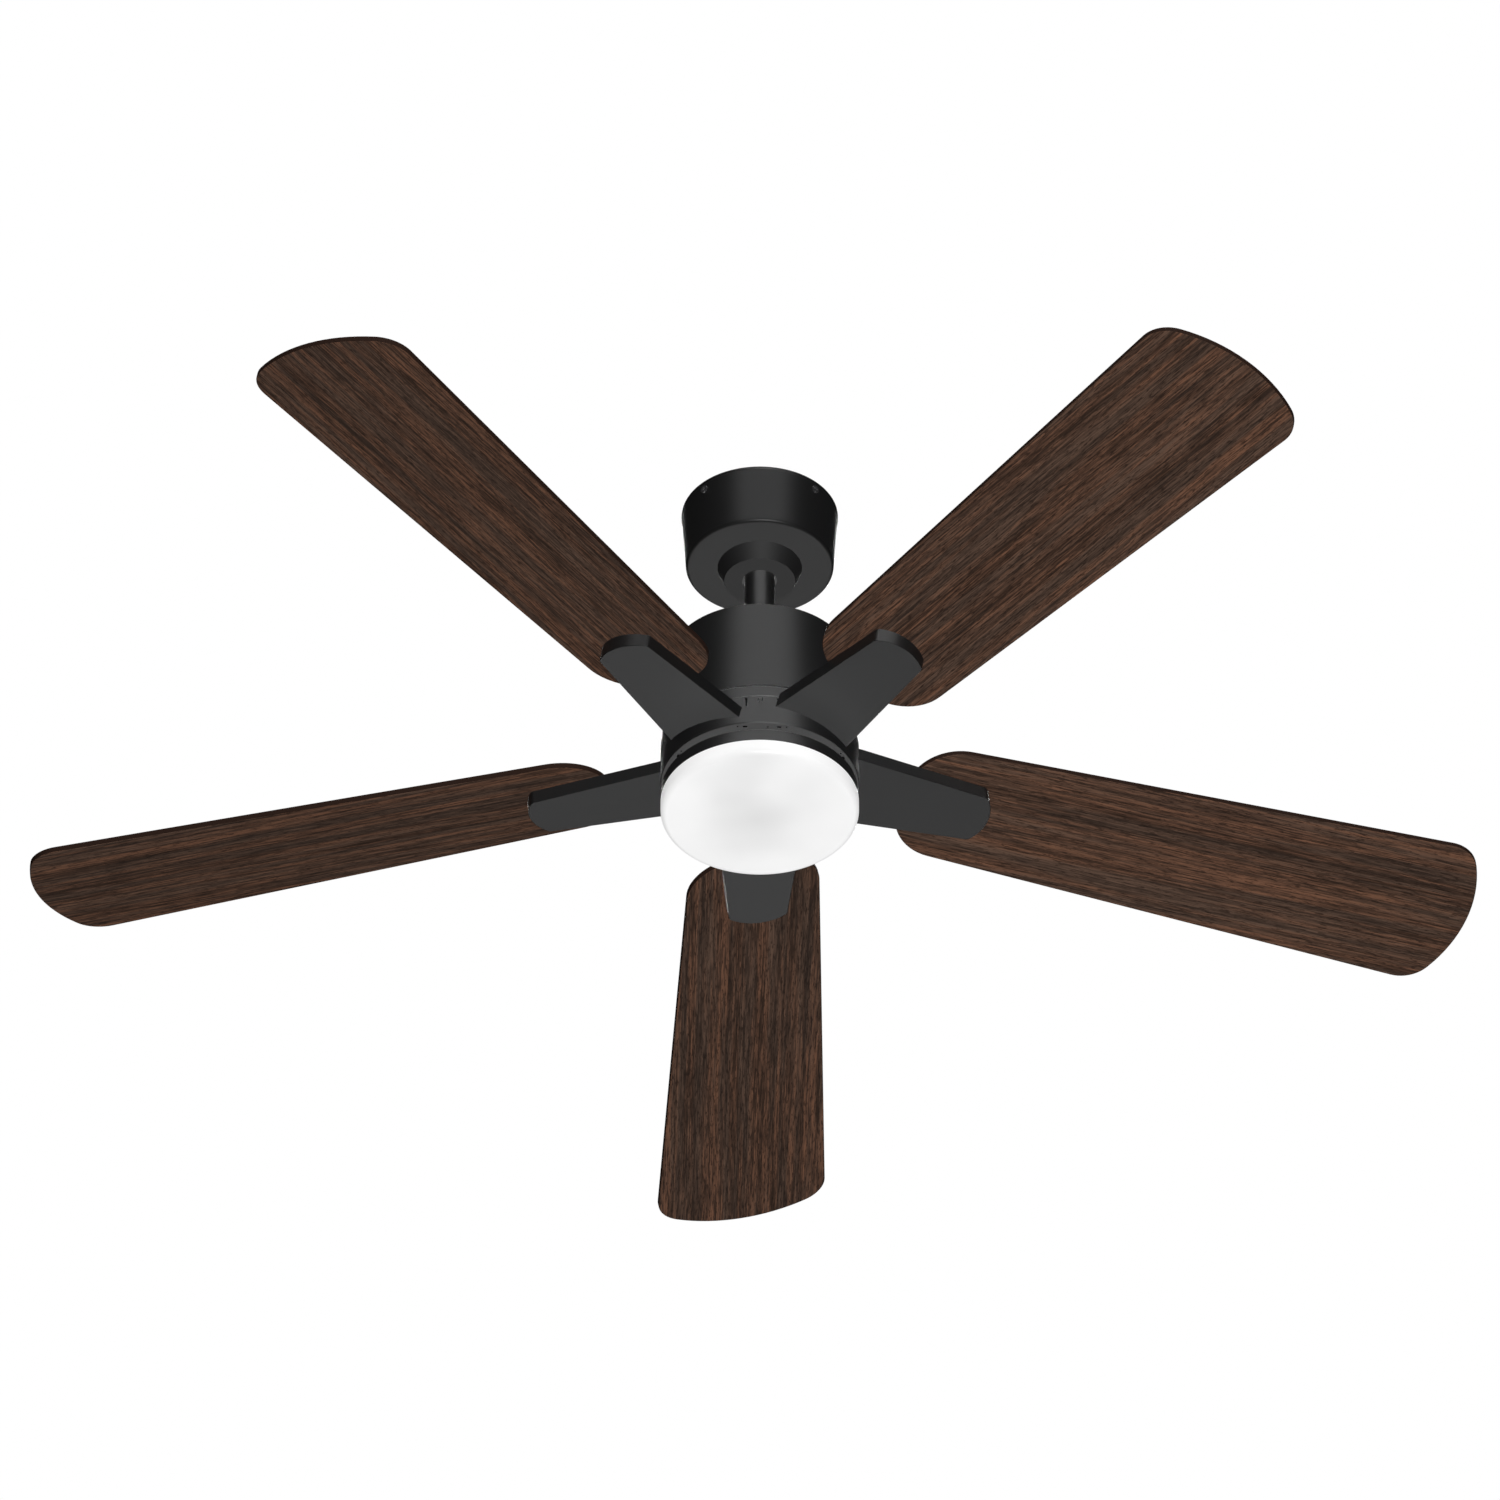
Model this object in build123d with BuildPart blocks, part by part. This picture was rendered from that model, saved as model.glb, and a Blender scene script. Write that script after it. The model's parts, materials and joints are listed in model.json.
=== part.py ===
from build123d import *
import math
import os

# A five-blade ceiling fan with a drum light, hung on a short downrod.
# Millimetres. The origin is the centre of the ceiling face of the hanger bracket, +Z is up,
# and +Z is also the axis of the downrod, the motor and the light.
# Heights named _Z are from the ceiling. over(h) is the height h above the blade plane.

# ---- driving dimensions -------------------------------------------------------------------
SPAN = 1320.8                # blade tip circle diameter, a 52 inch fan
BLADE_COUNT = 5
BLADE_DROP = 278.5           # ceiling to the point where the blades' lower plane meets the axis
BLADE_PITCH = 12.0
FIRST_BLADE_AZIMUTH = 91.4

BLADE_THICKNESS = 5.0
BLADE_ROOT_RADIUS = 133.0    # distance of the blade's root end from the axis
BLADE_AXIS_HALF_WIDTH = 52.6  # half width that the tapered sides would have at the axis
BLADE_TAPER = 0.0385         # half width gained for each millimetre outwards
BLADE_SIDE_OFFSET = 1.2
BLADE_ROOT_CORNER = 45.0
BLADE_TIP_CORNER = 30.0
BLADE_TIP_ARC = 140.0
BLADE_EDGE_EASING = 0.6

ARM_TIP_RADIUS = 209.0
ARM_DEPTH = 12.7             # depth of the arm under the blade on its centre line
ARM_UNDERSIDE_PITCH = 8.4
ARM_AXIS_HALF_WIDTH = 44.3
ARM_TAPER = 0.089
ARM_SIDE_OFFSET = -1.0
ARM_TIP_CORNER = 5.0
ARM_TIP_ARC = 40.0
ARM_EDGE_EASING = 0.6
ARM_TONGUE = (58.0, 40.0, 5.0)   # inner end radius, width, thickness
ARM_TONGUE_TOP = -4.5

CANOPY_TOP_RADIUS = 69.0
CANOPY_BOTTOM_RADIUS = 64.8
CANOPY_DEPTH = 58.5
CANOPY_WALL = 1.2
CANOPY_EDGE_RADIUS = 3.0
CANOPY_SCREW_DEPTH = 9.0
CANOPY_NECK_RADIUS = 36.0
COLLAR_BASE_RADIUS = 37.1
COLLAR_END_RADIUS = 31.1
COLLAR_DEPTH = 15.0
COLLAR_ROD_CLEARANCE = 1.85

PLATE_RADIUS = 66.0
PLATE_THICKNESS = 2.0
BOX_SCREW_SPACING = 88.9
BOX_SLOT_LENGTH = 12.0
BOX_SLOT_RADIUS = 2.6

BALL_RADIUS = 29.0
BALL_DEPTH = 46.0            # ceiling to the centre of the hanger ball
BALL_GAP = 0.3
LINER_THICKNESS = 1.8

ROD_RADIUS = 13.35           # three-quarter inch pipe
ROD_WALL = 2.0
ROD_TOP_DEPTH = 24.0
ROD_BOTTOM = 116.0           # above the blade plane

HOUSING_TOP = 113.0
HOUSING_BOTTOM = 17.5
HOUSING_TOP_RADIUS = 80.0
HOUSING_BOTTOM_RADIUS = 85.2
HOUSING_WALL = 1.5

HUB_RADIUS = 86.0
HUB_WALL = 2.6
HUB_TOP = 16.0
HUB_BOTTOM = -24.9
HUB_FLANGE = 4.5

SHAFT_RADIUS = 7.5
SHAFT_BORE = 4.5
SHAFT_END = -20.0
BEARING_RADIUS = 17.5
BEARING_WIDTH = 11.0
BEARING_BALL = 2.2

PAN_TOP = -31.5
PAN_BOTTOM = -43.9
PAN_RADIUS = 85.3
PAN_WALL = 1.3
DRIVER_DOME_RADIUS = 50.0
DRIVER_DOME_TOP = -9.0

SHADE_TOP = -44.3
SHADE_BOTTOM = -58.5
SHADE_CROWN = 2.5
SHADE_RADIUS = 85.6
SHADE_WALL = 2.0
SHADE_EDGE_RADIUS = 5.5

os.makedirs("parts", exist_ok=True)


def over(height):
    """Height from the ceiling of a level given above the blade plane."""
    return height - BLADE_DROP


def direction(azimuth):
    """Unit vector outwards at an azimuth in degrees."""
    return (math.cos(math.radians(azimuth)), math.sin(math.radians(azimuth)), 0)


def radial_plane(azimuth, radius, z):
    """Plane facing outwards at a radius: its x runs round the object, its y runs up."""
    x, y, _ = direction(azimuth)
    return Plane(origin=(radius * x, radius * y, z), x_dir=(-y, x, 0), z_dir=(x, y, 0))


def pitched_plane(azimuth, pitch, height):
    """Plane through the axis, pitched about the radial line: x outwards, y down the pitch."""
    x, y, _ = direction(azimuth)
    lean = math.sin(math.radians(pitch))
    rise = math.cos(math.radians(pitch))
    normal = (-y * lean, x * lean, rise)
    origin = tuple(height * n + z for n, z in zip(normal, (0, 0, -BLADE_DROP)))
    return Plane(origin=origin, x_dir=(x, y, 0), z_dir=normal)


def save(builder, name):
    """Label a finished sub-part and write its STEP file."""
    builder.part.label = name
    export_step(builder.part, f"parts/{name}.step")


BLADE_AZIMUTHS = [FIRST_BLADE_AZIMUTH + 360 / BLADE_COUNT * i for i in range(BLADE_COUNT)]
GAP_AZIMUTHS = [azimuth + 180 / BLADE_COUNT for azimuth in BLADE_AZIMUTHS]
BALL_Z = -BALL_DEPTH
LINER_RADIUS = BALL_RADIUS + BALL_GAP + LINER_THICKNESS
SEAT_RADIUS = LINER_RADIUS + BALL_GAP
CANOPY_SCREW_AZIMUTHS = [45, 135, 225, 315]
HUB_SCREW_RADIUS = 40.0
HUB_SCREW_SPOTS = [Vector(*direction(azimuth)) * HUB_SCREW_RADIUS for azimuth in GAP_AZIMUTHS]
ARM_SCREW_RADIUS = 68.0
ARM_SCREW_SIDE = 12.0
SCREW_HOLE_RADIUS = 2.2      # clearance hole of the hub's and the arms' screws
SCREW_SHANK_RADIUS = 2.1


def arm_screw_spots(azimuth):
    """The two screws that hold an arm's tongue, either side of the arm's centre line."""
    x, y, _ = direction(azimuth)
    return [
        (ARM_SCREW_RADIUS * x - side * y, ARM_SCREW_RADIUS * y + side * x)
        for side in (ARM_SCREW_SIDE, -ARM_SCREW_SIDE)
    ]



# ---- hanger bracket: ceiling plate, two legs and the ring that the ball hangs in -------------
LEG_GAP = 31.5               # half the distance between the legs
LEG_WIDTH = 24.0
LEG_THICKNESS = 2.0
RING_RADIUS = LEG_GAP + LEG_THICKNESS
RING_TOP_Z = -54.0
RING_BOTTOM_Z = -61.0
TAB_WIDTH = 14.0             # tabs bent down at the rim for the canopy's screws
TAB_THICKNESS = 2.0
TAB_RADIUS = PLATE_RADIUS - 1.6
TAB_DEPTH = 16.0
KEY_RADIUS = 1.8             # stud in the ring that stops the ball from turning
KEY_Z = -58.0
WIRE_HOLE_RADIUS = 9.0
WIRE_HOLE_Y = 48.0
CANOPY_SCREW_SHANK = 2.0
CANOPY_SCREW_END = PLATE_RADIUS - 6

with BuildPart() as hanger_bracket:
    with BuildSketch():
        Circle(PLATE_RADIUS)
        with Locations((0, WIRE_HOLE_Y), (0, -WIRE_HOLE_Y)):
            Circle(WIRE_HOLE_RADIUS, mode=Mode.SUBTRACT)
        with Locations((-BOX_SCREW_SPACING / 2, 0), (BOX_SCREW_SPACING / 2, 0)):
            SlotOverall(BOX_SLOT_LENGTH, 2 * BOX_SLOT_RADIUS, mode=Mode.SUBTRACT)
    extrude(amount=-PLATE_THICKNESS)
    with BuildSketch(Plane.XY.offset(-PLATE_THICKNESS)):
        for azimuth in CANOPY_SCREW_AZIMUTHS:
            with Locations(Location(Vector(*direction(azimuth)) * TAB_RADIUS, (0, 0, azimuth))):
                Rectangle(TAB_THICKNESS, TAB_WIDTH)
    extrude(amount=PLATE_THICKNESS - TAB_DEPTH)
    with BuildSketch(Plane.XY.offset(-PLATE_THICKNESS)):
        with Locations((0, RING_RADIUS - LEG_THICKNESS / 2), (0, LEG_THICKNESS / 2 - RING_RADIUS)):
            Rectangle(LEG_WIDTH, LEG_THICKNESS)
    extrude(amount=PLATE_THICKNESS + RING_TOP_Z)
    with BuildSketch(Plane.XY.offset(RING_BOTTOM_Z)):
        Circle(RING_RADIUS)
    extrude(amount=RING_TOP_Z - RING_BOTTOM_Z)
    with Locations((0, 0, BALL_Z)):
        Sphere(SEAT_RADIUS, mode=Mode.SUBTRACT)
    with BuildSketch(radial_plane(0, BALL_RADIUS - 3, KEY_Z)):
        Circle(KEY_RADIUS)
    extrude(amount=5)
    for azimuth in CANOPY_SCREW_AZIMUTHS:
        with BuildSketch(radial_plane(azimuth, CANOPY_SCREW_END, -CANOPY_SCREW_DEPTH)):
            Circle(CANOPY_SCREW_SHANK + 0.1)
        extrude(amount=8, mode=Mode.SUBTRACT)
save(hanger_bracket, "hanger_bracket")

# ---- canopy, its screws and the collar round the downrod -------------------------------------
CANOPY_Z = -CANOPY_DEPTH
RIM_BEAD_Z = -1.7            # lower side of the bead round the canopy's open rim
RIM_BEAD = 0.5

with BuildPart() as canopy:
    with BuildSketch(Plane.XZ):
        with BuildLine():
            Polyline(
                (CANOPY_NECK_RADIUS, CANOPY_Z),
                (CANOPY_BOTTOM_RADIUS, CANOPY_Z),
                (CANOPY_TOP_RADIUS - RIM_BEAD, RIM_BEAD_Z - RIM_BEAD),
                (CANOPY_TOP_RADIUS, RIM_BEAD_Z),
                (CANOPY_TOP_RADIUS, 0),
                (CANOPY_TOP_RADIUS - CANOPY_WALL, 0),
                (CANOPY_TOP_RADIUS - CANOPY_WALL - RIM_BEAD, RIM_BEAD_Z - RIM_BEAD),
                (CANOPY_BOTTOM_RADIUS - CANOPY_WALL, CANOPY_Z + CANOPY_WALL),
                (CANOPY_NECK_RADIUS, CANOPY_Z + CANOPY_WALL),
                close=True,
            )
        make_face()
    revolve(axis=Axis.Z)
    bottom_edges = canopy.edges().filter_by(GeomType.CIRCLE)
    outer_edge = bottom_edges.filter_by(lambda e: abs(e.radius - CANOPY_BOTTOM_RADIUS) < 0.01)
    inner_edge = bottom_edges.filter_by(lambda e: abs(e.radius - CANOPY_BOTTOM_RADIUS + CANOPY_WALL) < 0.01)
    fillet(outer_edge, CANOPY_EDGE_RADIUS)
    fillet(inner_edge, CANOPY_EDGE_RADIUS - CANOPY_WALL)
    for azimuth in CANOPY_SCREW_AZIMUTHS:
        with BuildSketch(radial_plane(azimuth, PLATE_RADIUS, -CANOPY_SCREW_DEPTH)):
            Circle(CANOPY_SCREW_SHANK + 0.4)
        extrude(amount=6, mode=Mode.SUBTRACT)
save(canopy, "canopy")

SCREW_HEAD_SEAT = CANOPY_TOP_RADIUS - 0.6
SCREW_HEAD_HEIGHT = 1.4
CROSS_LENGTH = 4.2           # cross recess in a screw head
CROSS_WIDTH = 0.9
with BuildPart() as canopy_screws:
    for azimuth in CANOPY_SCREW_AZIMUTHS:
        with BuildSketch(radial_plane(azimuth, CANOPY_SCREW_END, -CANOPY_SCREW_DEPTH)):
            Circle(CANOPY_SCREW_SHANK)
        extrude(amount=SCREW_HEAD_SEAT - CANOPY_SCREW_END)
        with BuildSketch(radial_plane(azimuth, SCREW_HEAD_SEAT, -CANOPY_SCREW_DEPTH)):
            Circle(3.6)
        extrude(amount=SCREW_HEAD_HEIGHT)
        with BuildSketch(radial_plane(azimuth, SCREW_HEAD_SEAT + SCREW_HEAD_HEIGHT / 2, -CANOPY_SCREW_DEPTH)):
            Rectangle(CROSS_LENGTH, CROSS_WIDTH)
            Rectangle(CROSS_WIDTH, CROSS_LENGTH)
        extrude(amount=SCREW_HEAD_HEIGHT, mode=Mode.SUBTRACT)
save(canopy_screws, "canopy_screws")

COLLAR_END_Z = CANOPY_Z - COLLAR_DEPTH
COLLAR_HOLE_RADIUS = ROD_RADIUS + COLLAR_ROD_CLEARANCE
COLLAR_WALL = 1.2
SNAP_RADIUS = CANOPY_NECK_RADIUS - 0.2   # short spigot that snaps into the canopy's neck
SNAP_WALL = 1.1
SNAP_HEIGHT = 2.4
with BuildPart() as canopy_collar:
    with BuildSketch(Plane.XZ):
        with BuildLine():
            Polyline(
                (COLLAR_HOLE_RADIUS, COLLAR_END_Z),
                (COLLAR_END_RADIUS, COLLAR_END_Z),
                (COLLAR_BASE_RADIUS, CANOPY_Z),
                (SNAP_RADIUS, CANOPY_Z),
                (SNAP_RADIUS, CANOPY_Z + SNAP_HEIGHT),
                (SNAP_RADIUS - SNAP_WALL, CANOPY_Z + SNAP_HEIGHT),
                (SNAP_RADIUS - SNAP_WALL, CANOPY_Z),
                (COLLAR_END_RADIUS - COLLAR_WALL, COLLAR_END_Z + COLLAR_WALL),
                (COLLAR_HOLE_RADIUS, COLLAR_END_Z + COLLAR_WALL),
                close=True,
            )
        make_face()
    revolve(axis=Axis.Z)
    with BuildSketch(Plane.XY.offset(CANOPY_Z + CANOPY_WALL)):
        with PolarLocations(CANOPY_NECK_RADIUS + 1.0, 3, start_angle=90):
            Rectangle(5, 9)
    extrude(amount=1.0)
save(canopy_collar, "canopy_collar")

# ---- remote control receiver, stuck under the ceiling plate -------------------------------------
RECEIVER = (76.0, 42.0, 15.0)
RECEIVER_TOP_Z = -3.5
PAD = (5.0, 30.0)            # self-adhesive pads between the receiver and the plate
with BuildPart() as remote_receiver:
    with BuildSketch(Plane.XY.offset(RECEIVER_TOP_Z)):
        RectangleRounded(RECEIVER[0], RECEIVER[1], 4)
    extrude(amount=-RECEIVER[2])
    with BuildSketch(Plane.XY.offset(RECEIVER_TOP_Z)):
        with Locations((PAD[0] - RECEIVER[0] / 2, 0), (RECEIVER[0] / 2 - PAD[0], 0)):
            Rectangle(*PAD)
    extrude(amount=-PLATE_THICKNESS - RECEIVER_TOP_Z)
    fillet(remote_receiver.edges().group_by(Axis.Z)[0], 1.5)
save(remote_receiver, "remote_receiver")

# ---- ball seat liner: a slippery shell between the bracket's ring and the ball --------------------
LINER_TOP_Z = BALL_Z - 6
LINER_BOTTOM_Z = BALL_Z - 19
with BuildPart() as ball_seat_liner:
    with Locations((0, 0, BALL_Z)):
        Sphere(LINER_RADIUS)
        Sphere(BALL_RADIUS + BALL_GAP, mode=Mode.SUBTRACT)
    split(bisect_by=Plane.XY.offset(LINER_TOP_Z), keep=Keep.BOTTOM)
    split(bisect_by=Plane.XY.offset(LINER_BOTTOM_Z), keep=Keep.TOP)
    with BuildSketch(radial_plane(0, BALL_RADIUS - 6, KEY_Z)):
        Circle(KEY_RADIUS + 1.6)
    extrude(amount=12, mode=Mode.SUBTRACT)
save(ball_seat_liner, "ball_seat_liner")

# ---- hanger ball, its cross pin and set screw ---------------------------------------------------
PIN_RADIUS = 3.0
BALL_PIN_Z = BALL_Z + 12
BALL_SCREW_Z = BALL_Z + 3
BALL_TOP_Z = BALL_Z + 18
BALL_BOTTOM_Z = BALL_Z - 21
PIN_SLOT_FLOOR_Z = BALL_PIN_Z - PIN_RADIUS - 0.2
SET_SCREW_RADIUS = 2.4
SET_SCREW_HOLE = 2.5
with BuildPart() as hanger_ball:
    with Locations((0, 0, BALL_Z)):
        Sphere(BALL_RADIUS)
    split(bisect_by=Plane.XY.offset(BALL_TOP_Z), keep=Keep.BOTTOM)
    split(bisect_by=Plane.XY.offset(BALL_BOTTOM_Z), keep=Keep.TOP)
    with BuildSketch(Plane.XY.offset(BALL_BOTTOM_Z)):
        Circle(ROD_RADIUS + 0.1)
    extrude(amount=BALL_TOP_Z - BALL_BOTTOM_Z, mode=Mode.SUBTRACT)
    with BuildSketch(Plane.XY.offset(BALL_TOP_Z)):
        Rectangle(46, 2 * PIN_RADIUS + 0.4)
    extrude(amount=PIN_SLOT_FLOOR_Z - BALL_TOP_Z, mode=Mode.SUBTRACT)
    with BuildSketch(Plane.YZ.offset(BALL_RADIUS - 5)):
        with Locations((0, BALL_Z - 14)):
            Rectangle(2 * KEY_RADIUS + 3.2, 22)
    extrude(amount=8, mode=Mode.SUBTRACT)
    with BuildSketch(Plane.XZ.offset(ROD_RADIUS)):
        with Locations((0, BALL_SCREW_Z)):
            Circle(SET_SCREW_HOLE)
    extrude(amount=20, mode=Mode.SUBTRACT)
save(hanger_ball, "hanger_ball")

with BuildPart() as ball_cross_pin:
    with BuildSketch(Plane.YZ.offset(-22)):
        with Locations((0, BALL_PIN_Z)):
            Circle(PIN_RADIUS)
    extrude(amount=44)
    chamfer(ball_cross_pin.edges().filter_by(GeomType.CIRCLE), 0.6)
save(ball_cross_pin, "ball_cross_pin")

with BuildPart() as ball_set_screw:
    with BuildSketch(Plane.XZ.offset(ROD_RADIUS)):
        with Locations((0, BALL_SCREW_Z)):
            Circle(SET_SCREW_RADIUS)
    extrude(amount=12)
    with BuildSketch(Plane.XZ.offset(ROD_RADIUS + 9)):
        with Locations((0, BALL_SCREW_Z)):
            RegularPolygon(1.4, 6)
    extrude(amount=5, mode=Mode.SUBTRACT)
save(ball_set_screw, "ball_set_screw")

# ---- downrod ------------------------------------------------------------------------------------
COUPLING_PIN_Z = over(133.5)
SET_SCREW_Z = over(122.5)
with BuildPart() as downrod:
    with BuildSketch(Plane.XY.offset(over(ROD_BOTTOM))):
        Circle(ROD_RADIUS)
        Circle(ROD_RADIUS - ROD_WALL, mode=Mode.SUBTRACT)
    extrude(amount=-ROD_TOP_DEPTH - over(ROD_BOTTOM))
    with BuildSketch(Plane.YZ.offset(-20)):
        with Locations((0, BALL_PIN_Z), (0, COUPLING_PIN_Z)):
            Circle(PIN_RADIUS + 0.1)
    extrude(amount=40, mode=Mode.SUBTRACT)
save(downrod, "downrod")

# ---- motor coupling on the top of the shaft, with its pin, clip, set screws and cover --------------
COUPLING_RADIUS = 18.0
COUPLING_TOP = 146.0
COUPLING_FLOOR = 114.5
SHAFT_TOP = 110.5
COUPLING_SKIRT_RADIUS = 14.0
COUPLING_FLANGE_RADIUS = 30.0
COUPLING_BOTTOM = 100.0
HOUSING_INNER_TOP = HOUSING_TOP - HOUSING_WALL
COVER_SCREW_RADIUS = 24.0
with BuildPart() as motor_coupling:
    with BuildSketch(Plane.XZ):
        with BuildLine():
            Polyline(
                (SHAFT_BORE, over(COUPLING_FLOOR)),
                (ROD_RADIUS + 0.1, over(COUPLING_FLOOR)),
                (ROD_RADIUS + 0.1, over(COUPLING_TOP)),
                (COUPLING_RADIUS, over(COUPLING_TOP)),
                (COUPLING_RADIUS, over(HOUSING_INNER_TOP)),
                (COUPLING_FLANGE_RADIUS, over(HOUSING_INNER_TOP)),
                (COUPLING_FLANGE_RADIUS, over(HOUSING_INNER_TOP - 5)),
                (COUPLING_SKIRT_RADIUS, over(HOUSING_INNER_TOP - 5)),
                (COUPLING_SKIRT_RADIUS, over(COUPLING_BOTTOM)),
                (SHAFT_RADIUS, over(COUPLING_BOTTOM)),
                (SHAFT_RADIUS, over(SHAFT_TOP)),
                (SHAFT_BORE, over(SHAFT_TOP)),
                close=True,
            )
        make_face()
    revolve(axis=Axis.Z)
    with BuildSketch(Plane.YZ.offset(-20)):
        with Locations((0, COUPLING_PIN_Z)):
            Circle(PIN_RADIUS + 0.1)
    extrude(amount=40, mode=Mode.SUBTRACT)
    with BuildSketch(Plane.XZ.offset(-20)):
        with Locations((0, SET_SCREW_Z)):
            Circle(SET_SCREW_HOLE)
    extrude(amount=40, mode=Mode.SUBTRACT)
    with BuildSketch(Plane.XY.offset(over(HOUSING_INNER_TOP))):
        with PolarLocations(COVER_SCREW_RADIUS, 4, start_angle=45):
            Circle(1.9)
    extrude(amount=-5, mode=Mode.SUBTRACT)
save(motor_coupling, "motor_coupling")

CLIP_X = 20.0
CLIP_RADIUS = 0.7
PIN_HEAD_RADIUS = 4.6
with BuildPart() as coupling_pin:
    with BuildSketch(Plane.YZ.offset(-20)):
        with Locations((0, COUPLING_PIN_Z)):
            Circle(PIN_RADIUS)
    extrude(amount=42)
    with BuildSketch(Plane.YZ.offset(-22)):
        with Locations((0, COUPLING_PIN_Z)):
            Circle(PIN_HEAD_RADIUS)
    extrude(amount=2)
    with BuildSketch(Plane.XY.offset(COUPLING_PIN_Z - 5)):
        with Locations((CLIP_X, 0)):
            Circle(CLIP_RADIUS + 0.1)
    extrude(amount=10, mode=Mode.SUBTRACT)
save(coupling_pin, "coupling_pin")

with BuildPart() as pin_clip:
    with BuildLine():
        FilletPolyline(
            (CLIP_X, 0, COUPLING_PIN_Z + 7),
            (CLIP_X, 0, COUPLING_PIN_Z - 6),
            (CLIP_X, PIN_HEAD_RADIUS, COUPLING_PIN_Z - 6),
            (CLIP_X, PIN_HEAD_RADIUS, COUPLING_PIN_Z + 7),
            radius=2.0,
        )
    with BuildSketch(Plane.XY.offset(COUPLING_PIN_Z + 7)):
        with Locations((CLIP_X, 0)):
            Circle(CLIP_RADIUS)
    sweep()
save(pin_clip, "pin_clip")

with BuildPart() as coupling_set_screws:
    for side in (1, -1):
        set_plane = Plane(origin=(0, side * ROD_RADIUS, SET_SCREW_Z), z_dir=(0, side, 0))
        with BuildSketch(set_plane):
            Circle(SET_SCREW_RADIUS)
        extrude(amount=6)
        with BuildSketch(set_plane.offset(5)):
            RegularPolygon(3.6, 6)
        extrude(amount=3)
save(coupling_set_screws, "coupling_set_screws")

COVER_RADIUS = 34.0
COVER_TOP = 152.0
COVER_WALL = 1.6
COVER_SHOULDER_RADIUS = 26.5
COVER_NECK_RADIUS = 17.5
COVER_ROD_HOLE = ROD_RADIUS + 0.2
with BuildPart() as coupling_cover:
    with BuildSketch(Plane.XZ):
        with BuildLine():
            Polyline(
                (COVER_RADIUS, over(HOUSING_TOP)),
                (COVER_RADIUS, over(HOUSING_TOP + 4)),
                (COVER_SHOULDER_RADIUS, over(COVER_TOP - 8)),
                (COVER_NECK_RADIUS, over(COVER_TOP)),
                (COVER_ROD_HOLE, over(COVER_TOP)),
                (COVER_ROD_HOLE, over(COVER_TOP - COVER_WALL)),
                (COVER_NECK_RADIUS - 0.5, over(COVER_TOP - COVER_WALL)),
                (COVER_SHOULDER_RADIUS - COVER_WALL, over(COVER_TOP - 8.6)),
                (COVER_RADIUS - COVER_WALL, over(HOUSING_TOP + 3.6)),
                (COVER_RADIUS - COVER_WALL, over(HOUSING_TOP)),
                close=True,
            )
        make_face()
    revolve(axis=Axis.Z)
save(coupling_cover, "coupling_cover")

# ---- motor housing and its screws ---------------------------------------------------------------
HOUSING_HOLE = COUPLING_RADIUS + 0.5
VENT_COUNT = 12
VENT = (24.0, 4.0)           # cooling slots in the housing's top
VENT_RADIUS = 56.0
with BuildPart() as motor_housing:
    with BuildSketch(Plane.XZ):
        with BuildLine():
            Polyline(
                (HOUSING_HOLE, over(HOUSING_TOP)),
                (HOUSING_TOP_RADIUS, over(HOUSING_TOP)),
                (HOUSING_BOTTOM_RADIUS, over(HOUSING_BOTTOM)),
                (HOUSING_BOTTOM_RADIUS - HOUSING_WALL, over(HOUSING_BOTTOM)),
                (HOUSING_TOP_RADIUS - HOUSING_WALL, over(HOUSING_INNER_TOP)),
                (HOUSING_HOLE, over(HOUSING_INNER_TOP)),
                close=True,
            )
        make_face()
    revolve(axis=Axis.Z)
    rims = motor_housing.edges().filter_by(GeomType.CIRCLE)
    fillet(rims.filter_by(lambda e: abs(e.radius - HOUSING_TOP_RADIUS) < 0.01), 1.4)
    with BuildSketch(Plane.XY.offset(over(HOUSING_TOP))):
        with PolarLocations(COVER_SCREW_RADIUS, 4, start_angle=45):
            Circle(2.2)
        with PolarLocations(VENT_RADIUS, VENT_COUNT):
            SlotOverall(*VENT)
    extrude(amount=-HOUSING_WALL, mode=Mode.SUBTRACT)
save(motor_housing, "motor_housing")

with BuildPart() as housing_screws:
    with BuildSketch(Plane.XY.offset(over(HOUSING_TOP))):
        with PolarLocations(COVER_SCREW_RADIUS, 4, start_angle=45):
            Circle(3.5)
    extrude(amount=2)
    with BuildSketch(Plane.XY.offset(over(HOUSING_TOP))):
        with PolarLocations(COVER_SCREW_RADIUS, 4, start_angle=45):
            Circle(1.8)
    extrude(amount=-6)
save(housing_screws, "housing_screws")

# ---- motor: hollow shaft, stator and windings -------------------------------------------------------
UPPER_BEARING = 84.0         # lower face of the upper bearing above the blade plane
LOWER_BEARING = 6.0
STATOR_BOTTOM = 36.0
STATOR_TOP = 62.0
STATOR_RADIUS = 50.0
SLOT_COUNT = 18
SLOT_CENTRE_RADIUS = 38.0
SLOT = (16.0, 7.0)
WINDING_OUTER = 44.0
WINDING_INNER = 31.0
WINDING_HEIGHT = 10.0

with BuildPart() as motor_shaft:
    with BuildSketch(Plane.XY.offset(over(SHAFT_END))):
        Circle(SHAFT_RADIUS)
        Circle(SHAFT_BORE, mode=Mode.SUBTRACT)
    extrude(amount=SHAFT_TOP - SHAFT_END)
save(motor_shaft, "motor_shaft")

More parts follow.
